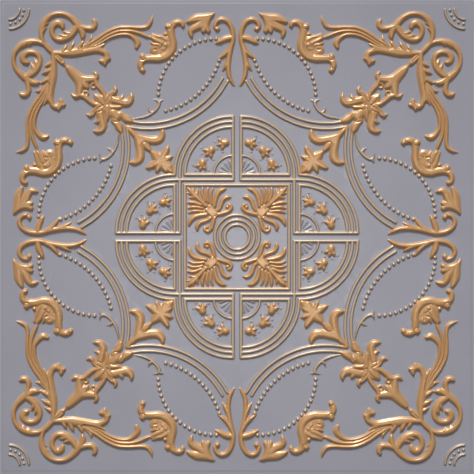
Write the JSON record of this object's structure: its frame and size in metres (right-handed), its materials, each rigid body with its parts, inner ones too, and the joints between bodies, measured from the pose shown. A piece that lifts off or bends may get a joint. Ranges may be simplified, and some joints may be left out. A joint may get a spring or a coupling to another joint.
{
  "type": "faux tin ceiling tile",
  "caption": "Square thin formed sheet with a pressed-tin pattern of ribs, scrolls and leaves, painted grey and gold, to glue or lay on a ceiling.",
  "frame": {"origin": "middle of the tile on the plane of its flat back", "axes": "+Z out of the decorated face, +X and +Y along the two sides, +Y to the top of the picture"},
  "size_m": [0.61, 0.61, 0.0044],
  "materials": {
    "painted_sheet": "satin grey paint with gold paint on the raised ornament"
  },
  "bodies": {
    "root": {"ceiling_tile": "painted_sheet"}
  },
  "joints": []
}
